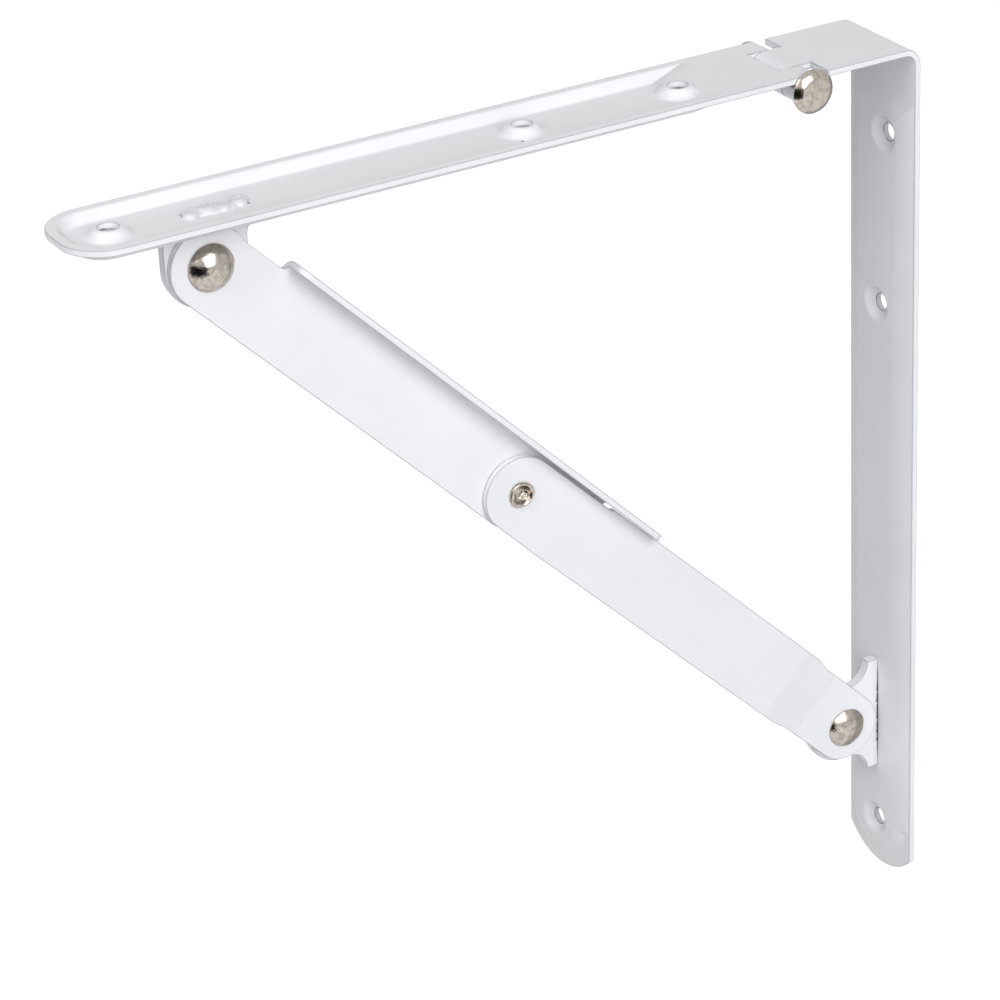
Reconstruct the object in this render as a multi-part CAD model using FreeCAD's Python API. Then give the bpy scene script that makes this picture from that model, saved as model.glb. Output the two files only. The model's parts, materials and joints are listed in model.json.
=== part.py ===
import FreeCAD, Part
import math
import os

V = FreeCAD.Vector

# Drop leaf table bracket: a wall plate and an arm joined by a rolled hinge, with a two-part folding strut.
# X points out from the wall, Y along the hinge towards its rivet head, Z up. Sizes are in millimetres.
# The origin is on the wall, half way between the middle and the lower wall screw.

# Sheet and plate widths
sheet = 1.5
plate_width = 25.0
bend_radius = 2.5

# Wall plate
screw_span = 138.5
corner_over_middle_screw = 65.5
upper_screw_drop = 22.8
upper_screw_shift = 2.6
foot_below_lower_screw = 13.0
foot_radius = 16.0
wall_press_depth = 1.6
wall_press_start = 11.0
wall_press_foot_rim = 3.0
wall_rim = 0.9
wall_slope_run = 4.2

# Arm
arm_reach = 203.0
arm_tip_radius = 10.0
arm_press_depth = 2.2
arm_press_past_hinge = 17.0
arm_ramp = 9.0
arm_rim = 2.3
arm_slope_run = 2.2
inner_screw_past_hinge = 26.5
middle_screw_past_hinge = 65.5
tip_screw_from_end = 12.0

# Screw seats, pressed up from the trough floor, with a dish behind each
seat_diameter = 10.0
seat_top_diameter = 6.0
arm_seat_recess = 0.2
wall_seat_recess = 0.0
screw_hole_diameter = 4.5
press_corner_radius = 3.0
press_tip_inset = 0.2

# Rolled hinge
hinge_reach = 29.0
hinge_pin_diameter = 4.5
tongue_width = 12.0
knuckle_side_gap = 0.25
knuckle_end_gap = 0.6
curl_turn = 285.0

# Clearances between pieces that move on each other
running_clearance = 0.05
plate_gap = 0.1
flange_seat_gap = 0.05

# Lugs, riveted through slots in the pressed floors
lug_thickness = 2.5
lug_radius = 9.6
arm_lug_shoulder = 0.9
wall_lug_shoulder = 3.0
arm_pivot_from_end = 32.5
arm_pivot_drop = 13.3
arm_lug_inward = 14.3
arm_lug_outward = 11.5
wall_pivot_reach = 13.4
wall_pivot_below_middle_screw = 108.1
wall_lug_up = 15.0
wall_lug_down = 14.6
tenon_length = 14.5
tenon_fit = 0.03
tenon_stand = 0.35
peen_height = 0.9
peen_width = 4.4
peen_top_width = 3.0
peen_gap = 0.5
peen_count = 4
peen_zigzag = 0.45
arm_tenon_shift = -3.3

# Folding strut
knee_share = 0.4434
knee_over_centre = 0.4
upper_strut_radius = 9.1
upper_strut_neck = 8.5
flange_inner_face = 9.7
flange_bend_radius = 1.0
flange_front = 9.0
flange_start = 15.0
flange_past_knee = 38.0
web_past_knee = 22.0
flange_corner_radius = 3.0
finger_tip_radius = 1.5
finger_root_radius = 0.4
web_corner_cut = 1.5
neck_start = 4.0
neck_run = 1.0
lower_strut_radius = 8.9
lower_strut_lower_edge = 9.2
stop_edge_start = 24.5
stop_edge_recess = 0.6
joggle_start = 26.0
joggle_end = 12.7
joggle_round = 4.0
wall_end_radius = 8.6
wall_end_shoulder = 17.0
shoulder_run = 4.0

# Rivets
pivot_shank_diameter = 5.0
arm_head_diameter = 10.6
arm_head_height = 3.2
wall_head_diameter = 10.6
wall_head_height = 2.0
tail_head_diameter = 8.0
tail_head_height = 1.2
knee_shank_diameter = 4.2
knee_ring_diameter = 6.2
knee_ring_height = 0.8
knee_ring_hollow = 3.0
knee_ring_edge = 0.3
knee_head_diameter = 8.0
knee_head_height = 1.0
hinge_head_diameter = 10.4
hinge_head_height = 2.2
hinge_head_edge = 0.9
hinge_tail_diameter = 7.4
hinge_tail_height = 1.1

# How far a cutting shape runs past what it cuts
cut_margin = 1.0

# Places worked out from the sizes
half_width = plate_width / 2
half_tongue = tongue_width / 2
prong_side = half_tongue + knuckle_side_gap
middle_screw_z = screw_span / 2
lower_screw_z = -screw_span / 2
corner_z = middle_screw_z + corner_over_middle_screw
foot_z = lower_screw_z - foot_below_lower_screw
knuckle_bore = hinge_pin_diameter / 2
knuckle_radius = knuckle_bore + sheet
hinge_x = hinge_reach
hinge_z = corner_z - knuckle_radius
arm_pivot = (arm_reach - arm_pivot_from_end, corner_z - arm_pivot_drop)
wall_pivot = (wall_pivot_reach, middle_screw_z - wall_pivot_below_middle_screw)
arm_floor_under = corner_z - arm_press_depth - sheet
wall_floor_front = wall_press_depth + sheet
lug_face = lug_thickness / 2
inner_plane = lug_face + plate_gap
outer_plane = inner_plane + sheet + plate_gap
knee_rivet_plane = outer_plane + sheet + plate_gap
finger_root = inner_plane + sheet + flange_bend_radius


# The knee lies a little outside the straight line between the two pivots, so a load on the arm locks it.
def find_knee():
    span_x = wall_pivot[0] - arm_pivot[0]
    span_z = wall_pivot[1] - arm_pivot[1]
    span = math.hypot(span_x, span_z)
    along = (span_x / span, span_z / span)
    inward = (along[1], -along[0])
    return (arm_pivot[0] + span_x * knee_share - inward[0] * knee_over_centre,
            arm_pivot[1] + span_z * knee_share - inward[1] * knee_over_centre)


knee = find_knee()


# A strut's own frame: s runs from its first pivot to its second, n towards the corner of the bracket.
class StrutFrame:
    def __init__(self, first, second):
        self.length = math.hypot(second[0] - first[0], second[1] - first[1])
        self.first = first
        self.along = ((second[0] - first[0]) / self.length, (second[1] - first[1]) / self.length)
        self.inward = (self.along[1], -self.along[0])

    def point(self, s, n, y):
        x = self.first[0] + self.along[0] * s + self.inward[0] * n
        z = self.first[1] + self.along[1] * s + self.inward[1] * n
        return V(x, y, z)

    def run(self, distance):
        return V(self.along[0] * distance, 0, self.along[1] * distance)

    def rise(self, distance):
        return V(self.inward[0] * distance, 0, self.inward[1] * distance)


upper = StrutFrame(arm_pivot, knee)
lower = StrutFrame(knee, wall_pivot)


# Closed wire through corners given as (u, v, radius); a corner with a radius is rounded.
def rounded_wire(corners, place):
    points = [V(corner[0], corner[1], 0) for corner in corners]
    spans = []
    for i, corner in enumerate(corners):
        here = points[i]
        radius = corner[2]
        if radius <= 0:
            spans.append((here, None, here))
            continue
        to_before = (points[i - 1] - here).normalize()
        to_after = (points[(i + 1) % len(points)] - here).normalize()
        half_angle = to_before.getAngle(to_after) / 2
        reach = radius / math.tan(half_angle)
        middle_way = (to_before + to_after).normalize()
        centre = here + middle_way * (radius / math.sin(half_angle))
        spans.append((here + to_before * reach, centre - middle_way * radius, here + to_after * reach))
    edges = []
    for i, (start, middle, end) in enumerate(spans):
        following = spans[(i + 1) % len(spans)][0]
        if middle is not None:
            edges.append(Part.Arc(place(start.x, start.y), place(middle.x, middle.y),
                                  place(end.x, end.y)).toShape())
        if end.distanceToPoint(following) > 1e-6:
            edges.append(Part.makeLine(place(end.x, end.y), place(following.x, following.y)))
    return Part.Wire(edges)


def slab(corners, place, thickness):
    return Part.Face(rounded_wire(corners, place)).extrude(thickness)


# Wire from a list of steps: a point, or a pair (middle, end) for an arc.
def drawn_wire(start, steps):
    edges = []
    here = start
    for step in steps:
        if isinstance(step, tuple):
            edges.append(Part.Arc(here, step[0], step[1]).toShape())
            here = step[1]
        else:
            edges.append(Part.makeLine(here, step))
            here = step
    if here.distanceToPoint(start) > 1e-6:
        edges.append(Part.makeLine(here, start))
    return Part.Wire(edges)


# Part of a ring in the X-Z plane, drawn out along Y.
def ring_sector(x, z, inner, outer, start_degrees, end_degrees, y_start, y_end):
    def at(radius, degrees):
        angle = math.radians(degrees)
        return V(x + radius * math.cos(angle), y_start, z + radius * math.sin(angle))

    middle = (start_degrees + end_degrees) / 2
    wire = drawn_wire(at(outer, start_degrees), [
        (at(outer, middle), at(outer, end_degrees)),
        at(inner, end_degrees),
        (at(inner, middle), at(inner, start_degrees)),
    ])
    return Part.Face(wire).extrude(V(0, y_end - y_start, 0))


def box(x0, x1, y0, y1, z0, z1):
    return Part.makeBox(x1 - x0, y1 - y0, z1 - z0, V(x0, y0, z0))


def pin(x, z, diameter, y0, y1):
    return Part.makeCylinder(diameter / 2, y1 - y0, V(x, y0, z), V(0, 1, 0))


# Domed rivet head that stands on the plane y_base.
def dome(x, z, diameter, height, y_base):
    radius = (diameter * diameter / 4 + height * height) / (2 * height)
    ball = Part.makeSphere(radius, V(x, y_base + height - radius, z))
    return ball.common(pin(x, z, diameter + cut_margin, y_base, y_base + height + cut_margin))


# Flat rivet head with a bevelled outer edge.
def button(x, z, diameter, height, edge, y_base):
    disc = pin(x, z, diameter, y_base, y_base + height)
    rims = [e for e in disc.Edges if len(e.Vertexes) == 1 and abs(e.CenterOfMass.y - y_base - height) < 1e-6]
    return disc.makeChamfer(edge, rims)


def joined(shapes):
    body = shapes[0]
    for shape in shapes[1:]:
        body = body.fuse(shape)
    return body.removeSplitter()


# Pressed sheet, drawn flat: u along the length, v across, w = 0 on the plane of the rims.
# The middle is pushed down by the press depth, and the same sheet thickness runs all over.
def pressing(start, end, tip_round, half_top, side_run, start_run, depth):
    def loop(grow, side_inset, start_inset, level):
        near = start - grow + start_inset
        far = end + grow - side_inset
        half = half_top + grow - side_inset
        tip = tip_round + grow - side_inset
        corner = press_corner_radius + grow
        return rounded_wire([
            (near, -half, corner),
            (far, -half, tip),
            (far, half, tip),
            (near, half, corner),
        ], lambda u, v: V(u, v, level))

    spread = sheet * math.tan(math.atan2(depth, side_run) / 2)
    hollow = Part.makeLoft([loop(0, 0, 0, 0), loop(0, side_run, start_run, -depth)], True, True)
    form = Part.makeLoft([loop(spread, 0, 0, -sheet), loop(spread, side_run, start_run, -depth - sheet)], True, True)
    return hollow, form


# Cone that rises from the pressed floor, and the dish and hole on its other side.
def screw_seat(u, v, depth, recess):
    base = V(u, v, -depth)
    height = depth - recess
    top = seat_top_diameter / 2
    spread = sheet * math.tan(math.atan2(height, seat_diameter / 2 - top) / 2)
    cone = Part.makeCone(seat_diameter / 2, top, height, base)
    dish = Part.makeCone(seat_diameter / 2 - spread, top - spread, height, base - V(0, 0, sheet))
    hole = Part.makeCylinder(screw_hole_diameter / 2, depth + 4 * sheet, base - V(0, 0, 2 * sheet))
    return cone, dish.fuse(hole)


def press_sheet(blank, hollow, form, seats, depth, recess):
    body = blank.fuse(form).cut(hollow)
    for u, v in seats:
        cone, opening = screw_seat(u, v, depth, recess)
        body = body.fuse(cone).cut(opening)
    return body.removeSplitter()


# Stand a flat-drawn sheet upright: its rims on the wall, u running down from the corner.
def stand_on_wall(shape):
    matrix = FreeCAD.Matrix(
        0, 0, -1, 0,
        0, -1, 0, 0,
        -1, 0, 0, corner_z,
        0, 0, 0, 1)
    return shape.transformed(matrix, True)


def make_wall_plate():
    corner_outer = bend_radius + sheet
    length = corner_z - foot_z
    blank = slab([
        (corner_outer, -half_width, 0),
        (length, -half_width, 0),
        (length, half_width, 0),
        (corner_outer, half_width, 0),
    ], lambda u, v: V(u, v, 0), V(0, 0, -sheet))
    foot_disc = Part.makeCylinder(foot_radius, 3 * sheet, V(length - foot_radius, 0, -2 * sheet))
    straight = Part.makeBox(length - foot_radius, 2 * plate_width, 3 * sheet, V(0, -plate_width, -2 * sheet))
    blank = blank.common(straight.fuse(foot_disc))
    half_top = half_width - wall_rim
    hollow, form = pressing(wall_press_start, length - wall_press_foot_rim, half_top - press_tip_inset, half_top,
                            wall_slope_run, wall_slope_run, wall_press_depth)
    seats = [
        (upper_screw_drop, -upper_screw_shift),
        (corner_over_middle_screw, 0),
        (corner_over_middle_screw + screw_span, 0),
    ]
    strip = stand_on_wall(press_sheet(blank, hollow, form, seats, wall_press_depth, wall_seat_recess))
    bend = ring_sector(corner_outer, corner_z - corner_outer, bend_radius, corner_outer, 90, 180,
                       -half_width, half_width)
    shoulder = hinge_x - knuckle_radius - knuckle_end_gap
    top = box(corner_outer, shoulder, -half_width, half_width, corner_z - sheet, corner_z)
    tongue = box(shoulder, hinge_x, -half_tongue, half_tongue, corner_z - sheet, corner_z)
    curl = ring_sector(hinge_x, hinge_z, knuckle_bore, knuckle_radius, 90 - curl_turn, 90, -half_tongue, half_tongue)
    slot_z = wall_pivot[1]
    half_slot = tenon_length / 2 + tenon_fit
    slot = box(0, 2 * wall_floor_front, -lug_face - tenon_fit, lug_face + tenon_fit,
               slot_z - half_slot, slot_z + half_slot)
    return joined([strip, bend, top, tongue, curl]).cut(slot)


def make_arm():
    blank = slab([
        (hinge_x, -half_width, 0),
        (arm_reach, -half_width, arm_tip_radius),
        (arm_reach, half_width, arm_tip_radius),
        (hinge_x, half_width, 0),
    ], lambda u, v: V(u, v, 0), V(0, 0, -sheet))
    half_top = half_width - arm_rim
    tip = arm_tip_radius - arm_rim
    hollow, form = pressing(hinge_x + arm_press_past_hinge, arm_reach - arm_rim, tip, half_top, arm_slope_run,
                            arm_ramp, arm_press_depth)
    seats = [
        (hinge_x + inner_screw_past_hinge, 0),
        (hinge_x + middle_screw_past_hinge, 0),
        (arm_reach - tip_screw_from_end, 0),
    ]
    plate = press_sheet(blank, hollow, form, seats, arm_press_depth, arm_seat_recess)
    plate.translate(V(0, 0, corner_z))
    notch_end = hinge_x + knuckle_radius + knuckle_end_gap
    notch = box(hinge_x - cut_margin, notch_end, -prong_side, prong_side, corner_z - 2 * sheet, corner_z + sheet)
    slot_x = arm_pivot[0] + arm_tenon_shift
    half_slot = tenon_length / 2 + tenon_fit
    slot = box(slot_x - half_slot, slot_x + half_slot, -lug_face - tenon_fit, lug_face + tenon_fit,
               arm_floor_under - sheet, corner_z + sheet)
    plate = plate.cut(notch).cut(slot)
    curls = [
        ring_sector(hinge_x, hinge_z, knuckle_bore, knuckle_radius, 90, 90 + curl_turn, side[0], side[1])
        for side in ((prong_side, half_width), (-half_width, -prong_side))
    ]
    return joined([plate] + curls)


# One blow's worth of spread tenon: a low lump with sloping sides on the plate's other face.
def peened_lump(at, a, length, shift):
    def loop(depth, half_length, half_width_here):
        corners = ((-1, -1), (1, -1), (1, 1), (-1, 1))
        return [at(a + i * half_length, depth) + V(0, lug_face + shift + j * half_width_here, 0)
                for i, j in corners]

    def flat(points):
        return Part.Face(Part.makePolygon(points + points[:1]))

    slope = (peen_width - peen_top_width) / 2
    foot = loop(-sheet, length / 2, peen_width / 2)
    top = loop(-sheet - peen_height, length / 2 - slope, peen_top_width / 2)
    sides = [flat([foot[i - 1], foot[i], top[i], top[i - 1]]) for i in range(len(foot))]
    return Part.makeSolid(Part.makeShell(sides + [flat(foot), flat(top)]))


# Lug: a rounded ear with concave flares at its root and a tenon whose end is peened into lumps.
# at(a, d) gives a place: a along the plate from the pivot, d from the plate's face towards the pivot.
def make_lug(at, depth, before, after, shoulder, tenon_centre):
    start = at(-before, 0)
    left_round = before - lug_radius
    right_round = after - lug_radius
    lean = math.sqrt(0.5)
    wire = drawn_wire(start, [
        at(-before, shoulder),
        (at(-before + left_round * lean, shoulder + left_round * (1 - lean)), at(-lug_radius, shoulder + left_round)),
        at(-lug_radius, depth),
        (at(0, depth + lug_radius), at(lug_radius, depth)),
        at(lug_radius, shoulder + right_round),
        (at(after - right_round * lean, shoulder + right_round * (1 - lean)), at(after, shoulder)),
        at(after, 0),
        at(tenon_centre + tenon_length / 2, 0),
        at(tenon_centre + tenon_length / 2, -sheet - tenon_stand),
        at(tenon_centre - tenon_length / 2, -sheet - tenon_stand),
        at(tenon_centre - tenon_length / 2, 0),
    ])
    lug = Part.Face(wire).extrude(V(0, lug_thickness, 0))
    pitch = tenon_length / peen_count
    for i in range(peen_count):
        a = tenon_centre - tenon_length / 2 + pitch * (i + 0.5)
        shift = peen_zigzag if i % 2 else -peen_zigzag
        lug = lug.fuse(peened_lump(at, a, pitch - peen_gap, shift))
    return lug.removeSplitter()


def make_arm_lug():
    def at(a, d):
        return V(arm_pivot[0] + a, -lug_face, arm_floor_under - d)

    depth = arm_floor_under - arm_pivot[1]
    lug = make_lug(at, depth, arm_lug_inward, arm_lug_outward, arm_lug_shoulder, arm_tenon_shift)
    return lug.cut(pin(arm_pivot[0], arm_pivot[1], pivot_shank_diameter, -plate_width, plate_width))


def make_wall_lug():
    def at(a, d):
        return V(wall_floor_front + d, -lug_face, wall_pivot[1] - a)

    depth = wall_pivot[0] - wall_floor_front
    lug = make_lug(at, depth, wall_lug_up, wall_lug_down, wall_lug_shoulder, 0)
    return lug.cut(pin(wall_pivot[0], wall_pivot[1], pivot_shank_diameter, -plate_width, plate_width))


def make_upper_strut():
    bend_start = flange_inner_face - flange_bend_radius
    outer_face = flange_inner_face + sheet
    bend_outer = flange_bend_radius + sheet
    knee_s = upper.length
    front = inner_plane + sheet
    bend_y = front + flange_bend_radius
    lean = math.sqrt(0.5)
    r = upper_strut_radius

    def web_point(s, n):
        return upper.point(s, n, inner_plane)

    wire = drawn_wire(web_point(0, r), [
        (web_point(-r, 0), web_point(0, -r)),
        web_point(knee_s, -r),
        (web_point(knee_s + r * lean, -r * lean), web_point(knee_s + r, 0)),
        web_point(knee_s + web_past_knee - web_corner_cut, bend_start - web_corner_cut),
        web_point(knee_s + web_past_knee, bend_start),
        web_point(flange_start, bend_start),
        web_point(flange_start - neck_run, upper_strut_neck),
        web_point(neck_start, upper_strut_neck),
    ])
    web = Part.Face(wire).extrude(V(0, sheet, 0))

    def profile_point(n, y):
        return upper.point(flange_start, n, y)

    profile = drawn_wire(profile_point(bend_start, inner_plane), [
        (profile_point(bend_start + bend_outer * lean, bend_y - bend_outer * lean),
         profile_point(outer_face, bend_y)),
        profile_point(outer_face, flange_front),
        profile_point(flange_inner_face, flange_front),
        profile_point(flange_inner_face, bend_y),
        (profile_point(bend_start + flange_bend_radius * lean, bend_y - flange_bend_radius * lean),
         profile_point(bend_start, front)),
    ])
    reach = knee_s + flange_past_knee - flange_start
    flange = Part.Face(profile).extrude(upper.run(reach))
    radius = flange_corner_radius

    def plan_point(s, y):
        return upper.point(s, bend_start - cut_margin, y)

    plan = rounded_wire([
        (flange_start, inner_plane - cut_margin, 0),
        (knee_s + web_past_knee, inner_plane - cut_margin, 0),
        (knee_s + web_past_knee, finger_root, finger_root_radius),
        (knee_s + flange_past_knee, finger_root, finger_tip_radius),
        (knee_s + flange_past_knee, flange_front, radius),
        (flange_start, flange_front, radius),
    ], plan_point)
    flange = flange.common(Part.Face(plan).extrude(upper.rise(2 * (bend_outer + cut_margin))))
    strut = joined([web, flange])
    arm_hole = pivot_shank_diameter + 2 * running_clearance
    strut = strut.cut(pin(arm_pivot[0], arm_pivot[1], arm_hole, 0, plate_width))
    return strut.cut(pin(knee[0], knee[1], knee_shank_diameter, 0, plate_width))


def make_lower_strut():
    span = lower.length
    bend_angle = math.asin((upper.along[0] * lower.inward[0] + upper.along[1] * lower.inward[1]))
    stop_edge = flange_inner_face - flange_seat_gap - abs(math.tan(bend_angle)) * flange_past_knee
    recess_edge = min(stop_edge, lower_strut_radius) - running_clearance
    r = lower_strut_radius
    q = wall_end_radius

    def plan_point(s, n):
        return lower.point(s, n, 0)

    plan = drawn_wire(plan_point(0, r), [
        (plan_point(-r, 0), plan_point(0, -r)),
        plan_point(joggle_end, -lower_strut_lower_edge),
        plan_point(span - wall_end_shoulder - shoulder_run, -lower_strut_lower_edge),
        plan_point(span - wall_end_shoulder, -q),
        plan_point(span, -q),
        (plan_point(span + q, 0), plan_point(span, q)),
        plan_point(span - wall_end_shoulder, q),
        plan_point(span - wall_end_shoulder - shoulder_run, stop_edge),
        plan_point(stop_edge_start, stop_edge),
        plan_point(stop_edge_start - stop_edge_recess, recess_edge),
        plan_point(joggle_end, recess_edge),
    ])
    outline = Part.Face(plan).extrude(V(0, plate_width, 0))

    def side_point(s, y):
        return lower.point(s, -half_width, y)

    before = span - joggle_start
    after = span - joggle_end
    profile = rounded_wire([
        (-half_width, outer_plane, 0),
        (before, outer_plane, joggle_round),
        (after, inner_plane, joggle_round + sheet),
        (span + half_width, inner_plane, 0),
        (span + half_width, inner_plane + sheet, 0),
        (after, inner_plane + sheet, joggle_round),
        (before, outer_plane + sheet, joggle_round + sheet),
        (-half_width, outer_plane + sheet, 0),
    ], side_point)
    strut = Part.Face(profile).extrude(lower.rise(plate_width)).common(outline)
    knee_hole = knee_shank_diameter + 2 * running_clearance
    wall_hole = pivot_shank_diameter + 2 * running_clearance
    strut = strut.cut(pin(knee[0], knee[1], knee_hole, 0, plate_width))
    return strut.cut(pin(wall_pivot[0], wall_pivot[1], wall_hole, 0, plate_width)).removeSplitter()


# Pivot rivet: its shank is tight in the lug, and the strut turns freely under its head.
def make_pivot_rivet(place, head_diameter, head_height):
    x, z = place
    shank = pin(x, z, pivot_shank_diameter, -lug_face, outer_plane)
    head = dome(x, z, head_diameter, head_height, outer_plane)
    tail = pin(x, z, tail_head_diameter, -lug_face - tail_head_height, -lug_face)
    return joined([shank, head, tail])


# Knee rivet: its far head and shank are tight in the upper strut, and its near end is rolled out to a ring.
def make_knee_rivet():
    x, z = knee
    shank = pin(x, z, knee_shank_diameter, inner_plane, knee_rivet_plane)
    head = pin(x, z, knee_head_diameter, inner_plane - knee_head_height, inner_plane)
    ring = button(x, z, knee_ring_diameter, knee_ring_height, knee_ring_edge, knee_rivet_plane)
    hollow = Part.makeCone(knee_ring_hollow / 3, knee_ring_hollow / 2, knee_ring_height,
                           V(x, knee_rivet_plane + knee_ring_edge, z), V(0, 1, 0))
    return joined([shank, head, ring]).cut(hollow)


def make_hinge_rivet():
    reach = prong_side - knuckle_side_gap / 2
    core = pin(hinge_x, hinge_z, hinge_pin_diameter, -reach + running_clearance, reach - running_clearance)
    near = pin(hinge_x, hinge_z, hinge_pin_diameter, reach, half_width)
    far = pin(hinge_x, hinge_z, hinge_pin_diameter, -half_width, -reach)
    head = button(hinge_x, hinge_z, hinge_head_diameter, hinge_head_height, hinge_head_edge, half_width)
    tail = pin(hinge_x, hinge_z, hinge_tail_diameter, -half_width - hinge_tail_height, -half_width)
    return core, joined([near, head]), joined([far, tail])


hinge_core, hinge_head, hinge_tail = make_hinge_rivet()

pieces = {
    "wall_plate": make_wall_plate(),
    "wall_lug": make_wall_lug(),
    "arm": make_arm(),
    "arm_lug": make_arm_lug(),
    "upper_strut": make_upper_strut(),
    "lower_strut": make_lower_strut(),
    "arm_rivet": make_pivot_rivet(arm_pivot, arm_head_diameter, arm_head_height),
    "wall_rivet": make_pivot_rivet(wall_pivot, wall_head_diameter, wall_head_height),
    "knee_rivet": make_knee_rivet(),
    "hinge_rivet_core": hinge_core,
    "hinge_rivet_head": hinge_head,
    "hinge_rivet_tail": hinge_tail,
}

os.makedirs("parts", exist_ok=True)
for name, shape in pieces.items():
    print(name, "solids", len(shape.Solids), "valid", shape.isValid(), "volume", round(shape.Volume, 1))
    shape.exportStep("parts/" + name + ".step")
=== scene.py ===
import json
import math

import bmesh
import bpy
from mathutils import Matrix, Vector, noise

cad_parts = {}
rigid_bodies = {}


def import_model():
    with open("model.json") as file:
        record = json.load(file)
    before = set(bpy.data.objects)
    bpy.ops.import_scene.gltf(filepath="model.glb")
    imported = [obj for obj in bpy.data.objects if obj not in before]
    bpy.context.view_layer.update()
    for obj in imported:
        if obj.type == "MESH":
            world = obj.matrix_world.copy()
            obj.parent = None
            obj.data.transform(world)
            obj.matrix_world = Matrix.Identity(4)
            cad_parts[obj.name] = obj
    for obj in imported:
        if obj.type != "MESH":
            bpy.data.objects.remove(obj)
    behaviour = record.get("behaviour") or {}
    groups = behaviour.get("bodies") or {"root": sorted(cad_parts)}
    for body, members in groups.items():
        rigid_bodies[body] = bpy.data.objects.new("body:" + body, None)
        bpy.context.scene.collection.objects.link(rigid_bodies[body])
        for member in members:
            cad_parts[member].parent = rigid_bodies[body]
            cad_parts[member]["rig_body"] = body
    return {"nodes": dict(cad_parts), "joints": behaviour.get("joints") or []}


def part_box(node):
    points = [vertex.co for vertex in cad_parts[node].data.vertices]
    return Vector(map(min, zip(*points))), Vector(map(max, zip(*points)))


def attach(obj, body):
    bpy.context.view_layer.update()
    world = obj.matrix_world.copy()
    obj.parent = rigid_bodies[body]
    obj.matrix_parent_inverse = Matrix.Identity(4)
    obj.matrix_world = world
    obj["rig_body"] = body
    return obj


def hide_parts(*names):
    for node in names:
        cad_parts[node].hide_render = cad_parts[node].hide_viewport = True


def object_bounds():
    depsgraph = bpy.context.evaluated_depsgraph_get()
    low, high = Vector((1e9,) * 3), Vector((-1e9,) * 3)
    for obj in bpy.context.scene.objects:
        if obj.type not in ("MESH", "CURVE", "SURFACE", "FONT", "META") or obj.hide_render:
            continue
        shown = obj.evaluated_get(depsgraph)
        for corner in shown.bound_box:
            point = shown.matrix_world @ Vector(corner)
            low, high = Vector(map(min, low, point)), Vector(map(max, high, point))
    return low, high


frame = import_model()
cadLow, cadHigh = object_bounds()
mm = 0.001  # the frame is in metres, the sizes below in millimetres
print("frame loaded:", len(frame["nodes"]), "nodes")


# sRGB hex to linear colour
def colour(hexCode):
    channels = [int(hexCode[i:i + 2], 16) / 255 for i in (1, 3, 5)]
    linear = [c / 12.92 if c <= 0.04045 else ((c + 0.055) / 1.055) ** 2.4 for c in channels]
    return (*linear, 1.0)


# one node with its settings and links; a key names an input, a number or a property
def addNode(tree, kind, settings=None, links=None):
    node = tree.nodes.new(kind)
    for key, value in (settings or {}).items():
        if isinstance(key, int) or key in node.inputs:
            node.inputs[key].default_value = value
        else:
            setattr(node, key, value)
    for key, source in (links or {}).items():
        tree.links.new(source, node.inputs[key])
    return node


def newMaterial(name):
    material = bpy.data.materials.new(name)
    material.use_nodes = True
    material.node_tree.nodes.clear()
    return material, material.node_tree


# finishes

coat = {
    "white": "#edeef1",
    "thinAndShaded": "#b5b9c0",          # where the powder lies thinner, and painted shade on edges and peening
    "edgeShadeShare": 0.8,           # share of the thin tone on sheared edges: thinner coat and painted shade
    "peenShadeShare": 0.35,          # and over the peened tenons: thinner coat, and painted shade
    "cloudSize": 16.0,          # mm, slow change in thickness
    "cloudRange": (0.35, 0.75),
    "cloudShare": 0.10,         # how much of the thin tone the clouds add
    "peelSize": 1.7,            # mm, orange peel
    "peelDepth": 0.010,         # mm
    "grainSize": 0.45,          # mm, drawn coarser than the real 0.1 mm so that it shows
    "grainDepth": 0.0022,       # mm
    "roughness": (0.20, 0.30),
    "ior": 1.5,
}


# White polyester powder coat on pressed steel, sprayed and baked: a satin skin with soft,
# wide highlights and a faint orange peel. least is the share of the thinner, greyer tone, which on
# edges and peening is also painted shade.
def makePowderCoat(name, least):
    material, tree = newMaterial(name)
    place = addNode(tree, "ShaderNodeTexCoord").outputs["Object"]
    patterns = (("cloudSize", 3.0), ("peelSize", 2.0), ("grainSize", 1.0))
    clouds, peel, grain = (
        addNode(tree, "ShaderNodeTexNoise", {"Scale": 1 / (coat[size] * mm), "Detail": detail},
                {"Vector": place}).outputs["Fac"] for size, detail in patterns)
    thinAndShaded = addNode(tree, "ShaderNodeMapRange",
                   {"From Min": coat["cloudRange"][0], "From Max": coat["cloudRange"][1],
                    "To Min": least, "To Max": least + coat["cloudShare"]}, {"Value": clouds})
    paint = addNode(tree, "ShaderNodeMix",
                    {"data_type": "RGBA", 6: colour(coat["white"]), 7: colour(coat["thinAndShaded"])},
                    {0: thinAndShaded.outputs["Result"]})
    gloss = addNode(tree, "ShaderNodeMapRange",
                    {"To Min": coat["roughness"][0], "To Max": coat["roughness"][1]},
                    {"Value": clouds})
    peelBump = addNode(tree, "ShaderNodeBump",
                       {"Strength": 1.0, "Distance": coat["peelDepth"] * mm}, {"Height": peel})
    grainBump = addNode(tree, "ShaderNodeBump",
                        {"Strength": 1.0, "Distance": coat["grainDepth"] * mm},
                        {"Height": grain, "Normal": peelBump.outputs["Normal"]})
    skin = addNode(tree, "ShaderNodeBsdfPrincipled", {"IOR": coat["ior"]},
                   {"Base Color": paint.outputs[2], "Roughness": gloss.outputs["Result"],
                    "Normal": grainBump.outputs["Normal"]})
    addNode(tree, "ShaderNodeOutputMaterial", {}, {"Surface": skin.outputs[0]})
    return material


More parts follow.
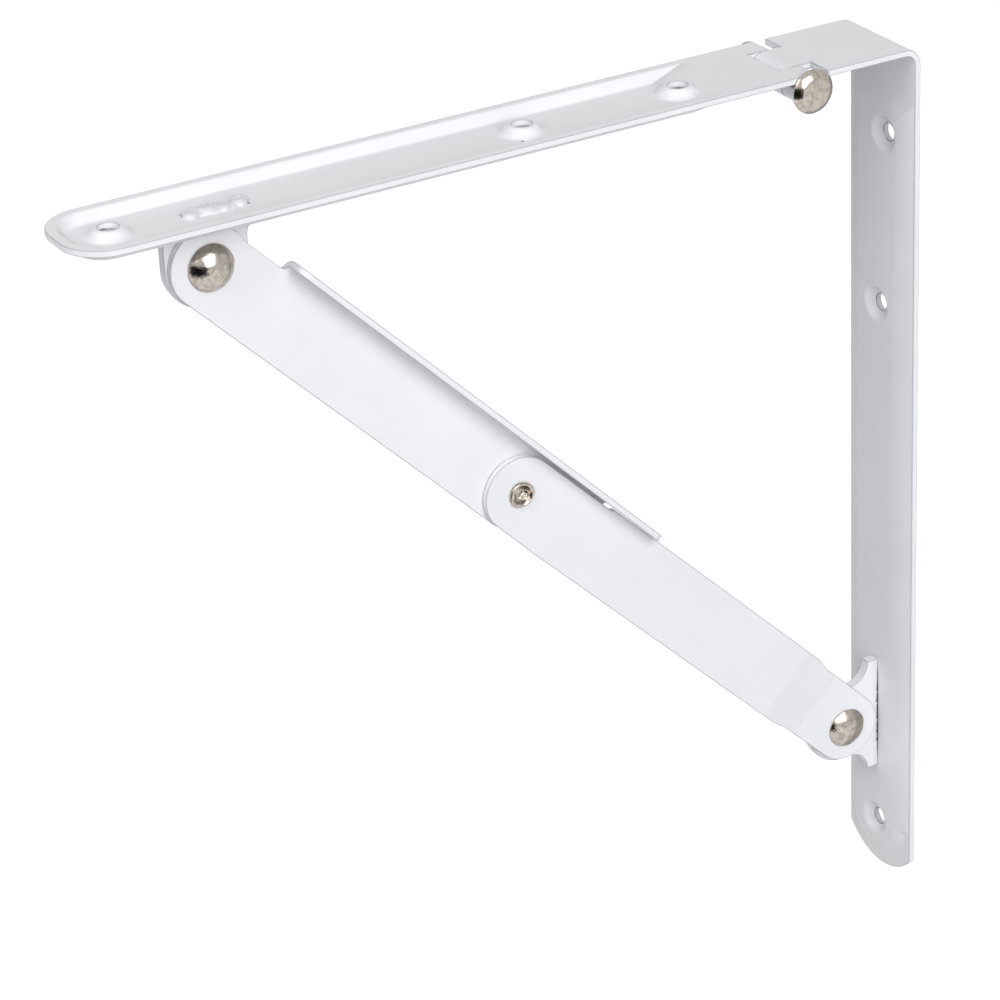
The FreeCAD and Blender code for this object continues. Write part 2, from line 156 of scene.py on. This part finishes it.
nickel = {
    "bright": "#b4ada3",
    "dull": "#989086",          # warm grey where the plating was worked
    "dullRange": (0.42, 0.66),
    "mottleSize": 1.0,          # mm
    "mottleDepth": 0.06,        # mm
    "pitSize": 0.35,            # mm
    "pitDepth": 0.010,          # mm
    "roughness": (0.10, 0.26),
    "glossRange": (0.3, 0.7),
    "domeDent": 1.0,            # strength of the dents where the tool formed a dome
    "flatDent": 0.35,
}


# Bright nickel on steel rivets, headed by a tool: a warm mirror with soft dents and
# cloudy patches, so that reflections break up towards the middle of a dome.
def makeNickel(name, dent):
    material, tree = newMaterial(name)
    place = addNode(tree, "ShaderNodeTexCoord").outputs["Object"]
    mottle = addNode(tree, "ShaderNodeTexNoise",
                     {"Scale": 1 / (nickel["mottleSize"] * mm), "Detail": 3.0, "Roughness": 0.6},
                     {"Vector": place}).outputs["Fac"]
    pits = addNode(tree, "ShaderNodeTexVoronoi", {"Scale": 1 / (nickel["pitSize"] * mm)},
                   {"Vector": place})
    cloud = addNode(tree, "ShaderNodeMapRange",
                    {"From Min": nickel["dullRange"][0], "From Max": nickel["dullRange"][1]},
                    {"Value": mottle})
    metal = addNode(tree, "ShaderNodeMix",
                    {"data_type": "RGBA", 6: colour(nickel["bright"]), 7: colour(nickel["dull"])},
                    {0: cloud.outputs["Result"]})
    gloss = addNode(tree, "ShaderNodeMapRange",
                    {"From Min": nickel["glossRange"][0], "From Max": nickel["glossRange"][1],
                     "To Min": nickel["roughness"][0], "To Max": nickel["roughness"][1]},
                    {"Value": mottle})
    dentBump = addNode(tree, "ShaderNodeBump",
                       {"Strength": dent, "Distance": nickel["mottleDepth"] * mm},
                       {"Height": mottle})
    pitBump = addNode(tree, "ShaderNodeBump",
                      {"Strength": dent, "Distance": nickel["pitDepth"] * mm},
                      {"Height": pits.outputs["Distance"], "Normal": dentBump.outputs["Normal"]})
    skin = addNode(tree, "ShaderNodeBsdfPrincipled", {"Metallic": 1.0},
                   {"Base Color": metal.outputs[2], "Roughness": gloss.outputs["Result"],
                    "Normal": pitBump.outputs["Normal"]})
    addNode(tree, "ShaderNodeOutputMaterial", {}, {"Surface": skin.outputs[0]})
    return material


seamShadeTone = {
    "dark": "#1b1c1f",
    "light": "#3d3e43",
    "patchSize": 0.8,           # mm
    "roughness": 0.7,
}


# Painted shadow in the seam along a lug's root: matt and nearly black.
def makeSeamShade():
    material, tree = newMaterial("paintedShadowInLugSeam")
    place = addNode(tree, "ShaderNodeTexCoord").outputs["Object"]
    patches = addNode(tree, "ShaderNodeTexNoise",
                      {"Scale": 1 / (seamShadeTone["patchSize"] * mm), "Detail": 2.0}, {"Vector": place})
    tone = addNode(tree, "ShaderNodeMix",
                   {"data_type": "RGBA", 6: colour(seamShadeTone["dark"]), 7: colour(seamShadeTone["light"])},
                   {0: patches.outputs["Fac"]})
    skin = addNode(tree, "ShaderNodeBsdfPrincipled", {"Roughness": seamShadeTone["roughness"]},
                   {"Base Color": tone.outputs[2]})
    addNode(tree, "ShaderNodeOutputMaterial", {}, {"Surface": skin.outputs[0]})
    return material


powderCoat = makePowderCoat("powderCoatWhite", 0.0)
# greyer copy of the coat: thinner coat on sheared edges, and painted shade along them
edgeShadeCoat = makePowderCoat("powderCoatThinAndShadedOnEdges", coat["edgeShadeShare"])
# greyer copy of the coat over the peening: thinner coat, and painted shade that keeps the lumps
# from washing out
peenShadeCoat = makePowderCoat("powderCoatShadedOverPeening", coat["peenShadeShare"])
nickelDome = makeNickel("nickelHeadedDome", nickel["domeDent"])
nickelFlat = makeNickel("nickelPressedFlat", nickel["flatDent"])
# nearly black: painted shadow for the seams at the lugs' roots
seamShadeMaterial = makeSeamShade()
print("materials made")


# sheet metal

pressed = {
    "edgeRound": 0.22,          # mm, the coat rounds the sheared edges
    "foldRound": 0.4,           # mm, softer where the press bent the sheet
    "steps": 3,
    "edgeFrom": 68.0,           # degrees, steeper corners than this are sheared edges
    "foldFrom": 33.0,
    "joinWithin": 0.002,        # mm, corners of neighbouring facets
    "flatWithin": 0.6,          # degrees, facets of one face
    "folded": ("wall_plate", "arm"),
    "flat": ("upper_strut", "lower_strut"),
}


def makeSmoothShade():
    group = bpy.data.node_groups.new("smoothShade", "GeometryNodeTree")
    for way in ("INPUT", "OUTPUT"):
        group.interface.new_socket("Geometry", in_out=way, socket_type="NodeSocketGeometry")
    source = addNode(group, "NodeGroupInput")
    smooth = addNode(group, "GeometryNodeSetShadeSmooth", {}, {"Geometry": source.outputs[0]})
    addNode(group, "NodeGroupOutput", {}, {0: smooth.outputs[0]})
    return group


smoothShade = makeSmoothShade()


# Folded pieces have pressed folds, which are rounder than the sheared edges
# and keep the full coat.
def roundEdges(piece, folded=False):
    join = piece.modifiers.new("joinFacets", "WELD")
    join.merge_threshold = pressed["joinWithin"] * mm
    flat = piece.modifiers.new("flatFaces", "DECIMATE")
    flat.decimate_type = "DISSOLVE"
    flat.angle_limit = math.radians(pressed["flatWithin"])
    # sheared edges get the greyer coat: thinner coat, and painted shade along the edges
    piece.data.materials.append(edgeShadeCoat)
    edgeFrom = pressed["edgeFrom"] if folded else pressed["foldFrom"]
    corners = [("coatedShadedEdge", pressed["edgeRound"], edgeFrom)]
    if folded:
        corners.append(("softFold", pressed["foldRound"], pressed["foldFrom"]))
    for name, width, least in corners:
        corner = piece.modifiers.new(name, "BEVEL")
        corner.width = width * mm
        corner.segments = pressed["steps"]
        corner.limit_method = "ANGLE"
        corner.angle_limit = math.radians(least)
        corner.use_clamp_overlap = False
        if name == "coatedShadedEdge":
            corner.material = len(piece.data.materials) - 1
    shade = piece.modifiers.new("smooth", "NODES")
    shade.node_group = smoothShade
    piece.modifiers.new("evenShine", "WEIGHTED_NORMAL")


for nodeName in pressed["folded"] + pressed["flat"]:
    sheetPiece = frame["nodes"][nodeName]
    for slot in sheetPiece.material_slots:
        slot.material = powderCoat
    roundEdges(sheetPiece, nodeName in pressed["folded"])
frame["nodes"]["hinge_rivet_core"].material_slots[0].material = nickelFlat
print("pressed sheet dressed")


# shared by all pieces made here

def linkObject(name, data):
    made = bpy.data.objects.new(name, data)
    bpy.context.scene.collection.objects.link(made)
    return made


def meshFrom(shape, name):
    mesh = bpy.data.meshes.new(name)
    shape.to_mesh(mesh)
    shape.free()
    return mesh


def smoothFaces(mesh):
    mesh.polygons.foreach_set("use_smooth", [True] * len(mesh.polygons))


def addPiece(name, mesh, material, body, stoodFor=()):
    piece = linkObject(name, mesh)
    mesh.materials.clear()
    mesh.materials.append(material)
    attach(piece, body)
    if stoodFor:
        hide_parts(*stoodFor)
    return piece


def bodyOf(nodeName):
    return frame["nodes"][nodeName]["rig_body"]


# lugs: the CAD ear and tenon without the lumps, which are sculpted below

armTenon = {"middle": 167.2, "floor": 132.55}     # mm along X, and up Z to the trough's top
wallTenon = {"middle": -38.85, "floor": 1.6}      # mm along Z, and out X to the floor's back
tenonSunk = 0.4                                   # mm from the sheet's face to the cut


def makeEar(name, nodeName, planePoint, planeNormal):
    shape = bmesh.new()
    shape.from_mesh(frame["nodes"][nodeName].data)
    bmesh.ops.remove_doubles(shape, verts=shape.verts, dist=pressed["joinWithin"] * mm)
    everything = shape.verts[:] + shape.edges[:] + shape.faces[:]
    bmesh.ops.bisect_plane(shape, geom=everything, dist=1e-7, plane_co=planePoint,
                           plane_no=planeNormal, clear_outer=True)
    bmesh.ops.holes_fill(shape, edges=[e for e in shape.edges if e.is_boundary])
    ear = addPiece(name, meshFrom(shape, name), powderCoat, bodyOf(nodeName), [nodeName])
    roundEdges(ear)


makeEar("armEar", "arm_lug", (0, 0, (armTenon["floor"] - tenonSunk) * mm), (0, 0, 1))
makeEar("wallEar", "wall_lug", ((wallTenon["floor"] + tenonSunk) * mm, 0, 0), (-1, 0, 0))

peen = {
    "count": 4,
    "pitch": 3.75,              # mm, one blow of the peening tool
    "radii": (2.05, 2.052, 1.4),    # mm, half a lump's length, width and height
    "size": 0.9,                # the lumps are this size,
    "sizeSwing": 0.1,           # more or less
    "squeezed": (0.3, 0.62),    # mm along and across that each blow pushes metal to both sides
    "zigzag": 0.35,             # mm
    "pit": 0.25,                # mm, dent in the top of each lump
    "pitReach": (0.2, 0.09),    # its place and the square of its size, on a lump of radius 1
    "body": (7.2, 2.5, 0.95),   # mm, the tenon's own metal that joins the lumps
    "voxel": 0.14,              # mm
    "softened": 4,
    "rough": 0.13,              # mm, how uneven the lumps are
    "roughSize": 1.5,           # mm
    "gouges": (                 # mm along, across and deep
        (-5.6, -0.6, 0.3), (-1.9, -1.4, 0.75), (1.85, -1.4, 0.75), (5.7, -1.4, 0.6)),
    "gougeHeight": 0.9,         # mm
    "gougeSize": 0.65,          # mm
}


# Spread end of a tenon: overlapping blows, fused and softened by the coat.
# at(along, across, out) gives a place from the middle of the tenon, in mm.
def sculptPeening(name, at, body, seed):
    shape = bmesh.new()
    for vert in bmesh.ops.create_icosphere(shape, subdivisions=5, radius=1.0)["verts"]:
        vert.co = at(*(vert.co[i] * peen["body"][i] for i in range(3)))
    pitPlace, pitSquare = peen["pitReach"]
    for i in range(peen["count"]):
        along = (i - (peen["count"] - 1) / 2) * peen["pitch"]
        across = peen["zigzag"] * (1 if i % 2 else -1)
        for side in (-1, 1):
            size = peen["size"] + peen["sizeSwing"] * math.sin(seed * 3 + 4 * i + 2.6 * side)
            for vert in bmesh.ops.create_icosphere(shape, subdivisions=4, radius=1.0)["verts"]:
                x, y, z = vert.co
                dent = peen["pit"] * math.exp(-(x ** 2 + (y + pitPlace * side) ** 2) / pitSquare)
                vert.co = at(along + peen["squeezed"][0] * side + x * peen["radii"][0] * size,
                             across + peen["squeezed"][1] * side + y * peen["radii"][1] * size,
                             z * peen["radii"][2] * size - (dent if z > 0 else 0))
    rough = linkObject(name + "Rough", meshFrom(shape, name))
    fuse = rough.modifiers.new("fuse", "REMESH")
    fuse.mode = "VOXEL"
    fuse.voxel_size = peen["voxel"] * mm
    soften = rough.modifiers.new("soften", "SMOOTH")
    soften.iterations = peen["softened"]
    bpy.context.view_layer.update()
    evaluated = rough.evaluated_get(bpy.context.evaluated_depsgraph_get())
    fused = bpy.data.meshes.new_from_object(evaluated)
    bpy.data.objects.remove(rough)
    normals = [v.normal.copy() for v in fused.vertices]
    gouges = [(at(along, across, peen["gougeHeight"]), deep)
              for along, across, deep in peen["gouges"]]
    for vert, normal in zip(fused.vertices, normals):
        wave = noise.noise(vert.co / (peen["roughSize"] * mm) + Vector((seed, 0, 0)))
        gouge = sum(deep * math.exp(-((vert.co - spot).length / (peen["gougeSize"] * mm)) ** 2)
                    for spot, deep in gouges)
        vert.co += normal * (wave * peen["rough"] - gouge) * mm
    smoothFaces(fused)
    fused.name = name
    # the lumps take the greyer coat: painted shade over thinner coat
    addPiece(name, fused, peenShadeCoat, body)


def atArmTenon(along, across, out):
    return Vector((armTenon["middle"] + along, across, armTenon["floor"] + out)) * mm


def atWallTenon(along, across, out):
    return Vector((wallTenon["floor"] - out, across, wallTenon["middle"] + along)) * mm


sculptPeening("armPeening", atArmTenon, bodyOf("arm_lug"), 1.3)
sculptPeening("wallPeening", atWallTenon, bodyOf("wall_lug"), 4.1)
print("lugs and peening made")


# painted shadow along the lugs' roots, where the seam lies in shade

rootShadow = {
    "width": 0.40,              # mm
    "least": 0.12,              # share of the width that it keeps where it nearly closes
    "ragged": 1.5,
    "wave": 0.45,               # of a wave in one step
    "step": 0.35,               # mm along the root
    "taper": 6,                 # it narrows over a sixth of its length at both ends
    "hair": 0.01,               # mm, at its very ends
    "lift": 0.030,              # mm off the ear's face
    "wall": ((3.1, 1.25, -50.5), (3.1, 1.25, -26.0)),
    "arm": ((158.5, 1.25, 131.05), (179.5, 1.25, 131.05)),
}


# Thin ragged ribbon of painted shadow on the ear's near face, between two places in mm.
# wide points away from the plate.
def makeRootShadow(name, ends, wide, body, seed):
    start, end, wide = Vector(ends[0]), Vector(ends[1]), Vector(wide)
    count = int((end - start).length / rootShadow["step"])
    shape = bmesh.new()
    before = None
    for i in range(count + 1):
        share = i / count
        here = start.lerp(end, share) + Vector((0, rootShadow["lift"], 0))
        wave = 0.5 + noise.noise(Vector((seed, i * rootShadow["wave"], 0)))
        taper = min(1, rootShadow["taper"] * share, rootShadow["taper"] * (1 - share))
        width = rootShadow["width"] * max(rootShadow["least"], wave * rootShadow["ragged"]) * taper + rootShadow["hair"]
        pair = (shape.verts.new(here * mm), shape.verts.new((here + wide * width) * mm))
        if before:
            shape.faces.new((before[0], before[1], pair[1], pair[0]))
        before = pair
    addPiece(name, meshFrom(shape, name), seamShadeMaterial, body)


# painted shadow ribbons along the seams at the lugs' roots
makeRootShadow("wallRootShadow", rootShadow["wall"], (1, 0, 0), bodyOf("wall_lug"), 2.0)
makeRootShadow("armRootShadow", rootShadow["arm"], (0, 0, -1), bodyOf("arm_lug"), 7.0)
print("coat cracks made")


# rivets, turned about their own axes

turning = {
    "around": 112,
    "filletSteps": 7,
    "domeSteps": 22,
    "sharp": 0.05,              # mm, fillet where a head meets its shank
    "swellScale": 0.45,         # per mm, slow change in roundness
}


# Profile through corners (radius, height, fillet), in mm, with each corner rounded.
def softProfile(corners):
    points = []
    for i, (r, y, fillet) in enumerate(corners):
        here = Vector((r, y))
        if fillet <= 0 or i in (0, len(corners) - 1):
            points.append(here)
            continue
        before = Vector(corners[i - 1][:2]) - here
        after = Vector(corners[i + 1][:2]) - here
        reach = min(fillet, before.length * 0.49, after.length * 0.49)
        first, last = here + before.normalized() * reach, here + after.normalized() * reach
        for k in range(turning["filletSteps"] + 1):
            t = k / turning["filletSteps"]
            points.append(first * (1 - t) ** 2 + here * 2 * t * (1 - t) + last * t ** 2)
    return points


# Arc of a dome from its top at the axis down to its rim, without the rim.
def domeTop(rim, height, base, steps=turning["domeSteps"]):
    radius = (rim * rim + height * height) / (2 * height)
    widest = math.asin(min(1.0, rim / radius))
    if height > radius:
        widest = math.pi - widest
    angles = [widest * k / steps for k in range(steps)]
    return [(radius * math.sin(a), base + height - radius + radius * math.cos(a), 0)
            for a in angles]


# Rivet in place of its CAD node. place is its axis, x and z in mm. uneven is how far it is
# from round, as a share. pleats fold the hollow in its end.
def turnRivet(name, nodeName, place, corners, material, uneven, pleats=None):
    shape = bmesh.new()
    rings = []
    for r, y in softProfile(corners):
        if r < 1e-6:
            rings.append([shape.verts.new((place[0] * mm, y * mm, place[1] * mm))])
            continue
        ring = []
        for k in range(turning["around"]):
            angle = 2 * math.pi * k / turning["around"]
            spot = Vector((r * math.cos(angle), y, r * math.sin(angle)))
            start = Vector((place[0], 0, 0))
            swell = 1 + uneven * noise.noise(spot * turning["swellScale"] + start)
            if pleats and r < pleats["radius"] and y > 0:
                deep = pleats["depth"] * math.sin(math.pi * r / pleats["radius"])
                swell *= 1 - deep * (0.5 + 0.5 * math.cos(pleats["count"] * angle + pleats["turn"]))
            ring.append(shape.verts.new(((place[0] + spot.x * swell) * mm, y * mm,
                                         (place[1] + spot.z * swell) * mm)))
        rings.append(ring)
    for upperRing, lowerRing in zip(rings, rings[1:]):
        for k in range(turning["around"]):
            n = (k + 1) % turning["around"]
            a = upperRing[k % len(upperRing)], upperRing[n % len(upperRing)]
            b = lowerRing[k % len(lowerRing)], lowerRing[n % len(lowerRing)]
            corner = list(dict.fromkeys((a[0], a[1], b[1], b[0])))
            if len(corner) > 2:
                shape.faces.new(corner)
    bmesh.ops.recalc_face_normals(shape, faces=shape.faces)
    mesh = meshFrom(shape, name)
    smoothFaces(mesh)
    addPiece(name, mesh, material, bodyOf(nodeName), [nodeName])


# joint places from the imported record, in mm
pivots = {j["name"]: (j["pos_m"][0] / mm, j["pos_m"][2] / mm) for j in frame["joints"]}
hingeLow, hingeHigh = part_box("hinge_rivet_core")
hingePlace = ((hingeLow.x + hingeHigh.x) / 2 / mm, (hingeLow.z + hingeHigh.z) / 2 / mm)

pivotRivet = {
    "armHead": {"rim": 5.3, "height": 3.2},
    "wallHead": {"rim": 4.9, "height": 2.0},
    "skirt": (0.25, 0.08),      # mm, upright rim below the dome and how far it tucks in
    "headBase": 2.95,           # mm from the middle of the bracket
    "lugBack": -1.25,
    "shank": 2.5,               # radii, mm
    "tail": 4.0,
    "tailHeight": 1.2,
    "dimple": ((1.5, 0, 0.4), (0.9, 0.45, 0.3), (0, 0.5, 0)),    # radius, depth and fillet
    "uneven": 0.02,
}


def pivotProfile(head):
    rim, base, back = head["rim"], pivotRivet["headBase"], pivotRivet["lugBack"]
    skirt, tuck = pivotRivet["skirt"]
    end = back - pivotRivet["tailHeight"]
    return domeTop(rim, head["height"] - skirt, base + skirt) + [
        (rim, base + skirt, 0.12),
        (rim - tuck, base, turning["sharp"]),
        (pivotRivet["shank"], base, turning["sharp"]),
        (pivotRivet["shank"], back, turning["sharp"]),
        (pivotRivet["tail"], back, 0.1),
        (pivotRivet["tail"], end, 0.7),
        *((r, end + deep, fillet) for r, deep, fillet in pivotRivet["dimple"]),
    ]


turnRivet("armRivetHead", "arm_rivet", pivots["arm_pivot"],
          pivotProfile(pivotRivet["armHead"]), nickelDome, pivotRivet["uneven"])
turnRivet("wallRivetHead", "wall_rivet", pivots["wall_pivot"],
          pivotProfile(pivotRivet["wallHead"]), nickelDome, pivotRivet["uneven"])

kneeRivet = {
    "outer": 4.55,              # mm from the middle of the bracket, both faces of the knee
    "inner": 1.35,
    # radius, height off the outer face and fillet, from the hollow's middle to the rolled ring
    "rolled": ((0, -0.6, 0), (0.35, -0.9, 0.2), (1.3, -1.1, 0.3), (1.9, -0.4, 0.3),
               (2.15, 0.5, 0.2), (2.55, 0.8, 0.25), (3.0, 0.65, 0.35), (3.1, 0, 0.15)),
    "shank": 2.1,               # radii, mm
    "head": 4.0,
    "headHeight": 1.0,
    "uneven": 0.05,
    "pleats": {"count": 3, "radius": 2.2, "depth": 0.34, "turn": 0.6},
}


def kneeProfile():
    outer, inner = kneeRivet["outer"], kneeRivet["inner"]
    end = inner - kneeRivet["headHeight"]
    return [
        *((r, outer + height, fillet) for r, height, fillet in kneeRivet["rolled"]),
        (kneeRivet["shank"], outer, turning["sharp"]),
        (kneeRivet["shank"], inner, turning["sharp"]),
        (kneeRivet["head"], inner, 0.1),
        (kneeRivet["head"], end, 0.45),
        (0, end, 0),
    ]


turnRivet("kneeRivetRolled", "knee_rivet", pivots["knee_pivot"], kneeProfile(), nickelDome,
          kneeRivet["uneven"], kneeRivet["pleats"])

hingeRivet = {
    "pin": 2.25,                # radius, mm
    "pinStart": 6.125,          # mm from the middle of the bracket
    "face": 12.5,               # outer faces of the prongs
    "headHeight": 2.2,
    "flat": 3.4,                # radius of the pressed flat on the head
    "crown": 0.2,               # mm, how far the flat is domed
    "crownSteps": 10,
    # radius, height off the face and fillet, from the flat outwards
    "shoulder": ((4.45, 1.35, 0.9), (5.2, 0.5, 0.6), (4.95, 0, 0.2)),
    "headUneven": 0.012,
    "tail": 3.7,                # radius, mm
    "tailHeight": 1.1,
    "dimple": ((1.4, 0, 0.4), (0.8, 0.4, 0.3), (0, 0.45, 0)),    # radius, depth and fillet
    "tailUneven": 0.03,
}


def hingeHeadProfile():
    face, pin, flat = hingeRivet["face"], hingeRivet["pin"], hingeRivet["flat"]
    rim = face + hingeRivet["headHeight"] - hingeRivet["crown"]
    return domeTop(flat, hingeRivet["crown"], rim, hingeRivet["crownSteps"]) + [
        (flat, rim, 0.5),
        *((r, face + height, fillet) for r, height, fillet in hingeRivet["shoulder"]),
        (pin, face, turning["sharp"]),
        (pin, hingeRivet["pinStart"], turning["sharp"]),
        (0, hingeRivet["pinStart"], 0),
    ]


def hingeTailProfile():
    face, pin, tail = -hingeRivet["face"], hingeRivet["pin"], hingeRivet["tail"]
    end = face - hingeRivet["tailHeight"]
    return [
        (0, -hingeRivet["pinStart"], 0),
        (pin, -hingeRivet["pinStart"], turning["sharp"]),
        (pin, face, turning["sharp"]),
        (tail, face, 0.1),
        (tail, end, 0.8),
        *((r, end + deep, fillet) for r, deep, fillet in hingeRivet["dimple"]),
    ]


turnRivet("hingeRivetHead", "hinge_rivet_head", hingePlace, hingeHeadProfile(), nickelFlat,
          hingeRivet["headUneven"])
turnRivet("hingeRivetTail", "hinge_rivet_tail", hingePlace, hingeTailProfile(), nickelDome,
          hingeRivet["tailUneven"])
print("rivets turned")


# floor, light and camera, in metres

studio = {
    "floorDrop": 0.26,          # below the foot, as the bracket hangs on a wall
    "floorSize": 9.0,
    "floorParts": 12,
    "floorColour": "#c6c6c8",
    "floorLift": 0.78,          # light added for the camera alone, so that the floor is white
    "floorPatch": 2 / 3,        # slow change in its sheen
    "floorRoughness": (0.75, 0.9),
    "ambient": 0.21,
    "softboxes": (              # name, place, size and watts
        ("keySoftbox", (0.21, 1.89, 1.13), 1.5, 36.0),
        ("sideSoftbox", (1.47, 0.38, 1.28), 1.1, 13.8),
    ),
    "cardPlace": (0.68, 0.46, -0.08),
    "cardSize": (1.0, 0.66),
    "cardColour": "#141312",
}
white = (1, 1, 1, 1)
objectMiddle = (cadLow + cadHigh) / 2


# 1 for what the eye sees, straight, mirrored or through glass, and 0 for light in the room
def seenShare(tree):
    rays = addNode(tree, "ShaderNodeLightPath").outputs
    seen = addNode(tree, "ShaderNodeMath", {"operation": "MAXIMUM"},
                   {0: rays["Is Camera Ray"], 1: rays["Is Glossy Ray"]})
    return addNode(tree, "ShaderNodeMath", {"operation": "MAXIMUM"},
                   {0: seen.outputs[0], 1: rays["Is Transmission Ray"]}).outputs[0]


# Matt pale studio floor, far below the bracket.
def makeFloor():
    shape = bmesh.new()
    level = Matrix.Translation((0, 0, cadLow.z - studio["floorDrop"]))
    bmesh.ops.create_grid(shape, x_segments=studio["floorParts"],
                          y_segments=studio["floorParts"], size=studio["floorSize"] / 2,
                          matrix=level)
    mesh = meshFrom(shape, "floor")
    material, tree = newMaterial("paleFloor")
    lift = addNode(tree, "ShaderNodeMath", {"operation": "MULTIPLY", 1: studio["floorLift"]},
                   {0: seenShare(tree)})
    place = addNode(tree, "ShaderNodeTexCoord").outputs["Object"]
    patches = addNode(tree, "ShaderNodeTexNoise",
                      {"Scale": 1 / studio["floorPatch"], "Detail": 2.0}, {"Vector": place})
    gloss = addNode(tree, "ShaderNodeMapRange",
                    {"To Min": studio["floorRoughness"][0], "To Max": studio["floorRoughness"][1]},
                    {"Value": patches.outputs["Fac"]})
    skin = addNode(tree, "ShaderNodeBsdfPrincipled",
                   {"Base Color": colour(studio["floorColour"]), "Emission Color": white},
                   {"Roughness": gloss.outputs["Result"], "Emission Strength": lift.outputs[0]})
    addNode(tree, "ShaderNodeOutputMaterial", {}, {"Surface": skin.outputs[0]})
    mesh.materials.append(material)
    linkObject("floor", mesh)


# Dim, even room light, in front of a white that only the eye sees.
def makeWorld():
    world = bpy.data.worlds.new("studioWorld")
    bpy.context.scene.world = world
    world.use_nodes = True
    tree = world.node_tree
    tree.nodes.clear()
    seen = seenShare(tree)
    room = addNode(tree, "ShaderNodeBackground", {"Color": white, "Strength": studio["ambient"]})
    paper = addNode(tree, "ShaderNodeBackground", {"Color": white, "Strength": 1.0})
    both = addNode(tree, "ShaderNodeMixShader", {},
                   {0: seen, 1: room.outputs[0], 2: paper.outputs[0]})
    addNode(tree, "ShaderNodeOutputWorld", {}, {"Surface": both.outputs[0]})


def faceObject(thing, place):
    thing.location = place
    thing.rotation_mode = "QUATERNION"
    thing.rotation_quaternion = (objectMiddle - Vector(place)).to_track_quat("-Z", "Y")


# Black card in front of the bracket: only mirrors see it, and it gives the nickel its dark side.
def addCard():
    shape = bmesh.new()
    bmesh.ops.create_grid(shape, x_segments=1, y_segments=1, size=0.5,
                          matrix=Matrix.Diagonal((*studio["cardSize"], 1, 1)))
    mesh = meshFrom(shape, "leftCard")
    material, tree = newMaterial("leftCardFelt")
    skin = addNode(tree, "ShaderNodeBsdfDiffuse", {"Color": colour(studio["cardColour"])})
    addNode(tree, "ShaderNodeOutputMaterial", {}, {"Surface": skin.outputs[0]})
    mesh.materials.append(material)
    card = linkObject("leftCard", mesh)
    faceObject(card, studio["cardPlace"])
    card.visible_camera = False
    card.visible_diffuse = False
    card.visible_shadow = False


makeFloor()
makeWorld()
for lightName, lightPlace, lightSize, lightPower in studio["softboxes"]:
    light = bpy.data.lights.new(lightName, "AREA")
    light.shape = "SQUARE"
    light.size = lightSize
    light.energy = lightPower
    faceObject(linkObject(lightName, light), lightPlace)
addCard()

view = {
    "place": (0.46557, 0.66040, 0.42833),
    "right": (-0.86608, 0.49816, -0.04173),
    "up": (-0.25745, -0.37292, 0.89143),
    "forward": (-0.42851, -0.78280, -0.45123),
    "lens": 137.18,             # mm
    "sensor": 36.0,
    "clip": (0.01, 50.0),
}


def makeCamera():
    data = bpy.data.cameras.new("camera")
    data.lens = view["lens"]
    data.sensor_width = view["sensor"]
    data.clip_start, data.clip_end = view["clip"]
    camera = linkObject("camera", data)
    turn = Matrix((view["right"], view["up"], -Vector(view["forward"]))).transposed()
    camera.matrix_world = Matrix.Translation(view["place"]) @ turn.to_4x4()
    bpy.context.scene.camera = camera


makeCamera()
bpy.context.scene.view_settings.view_transform = "Standard"
print("stage, light and camera set")
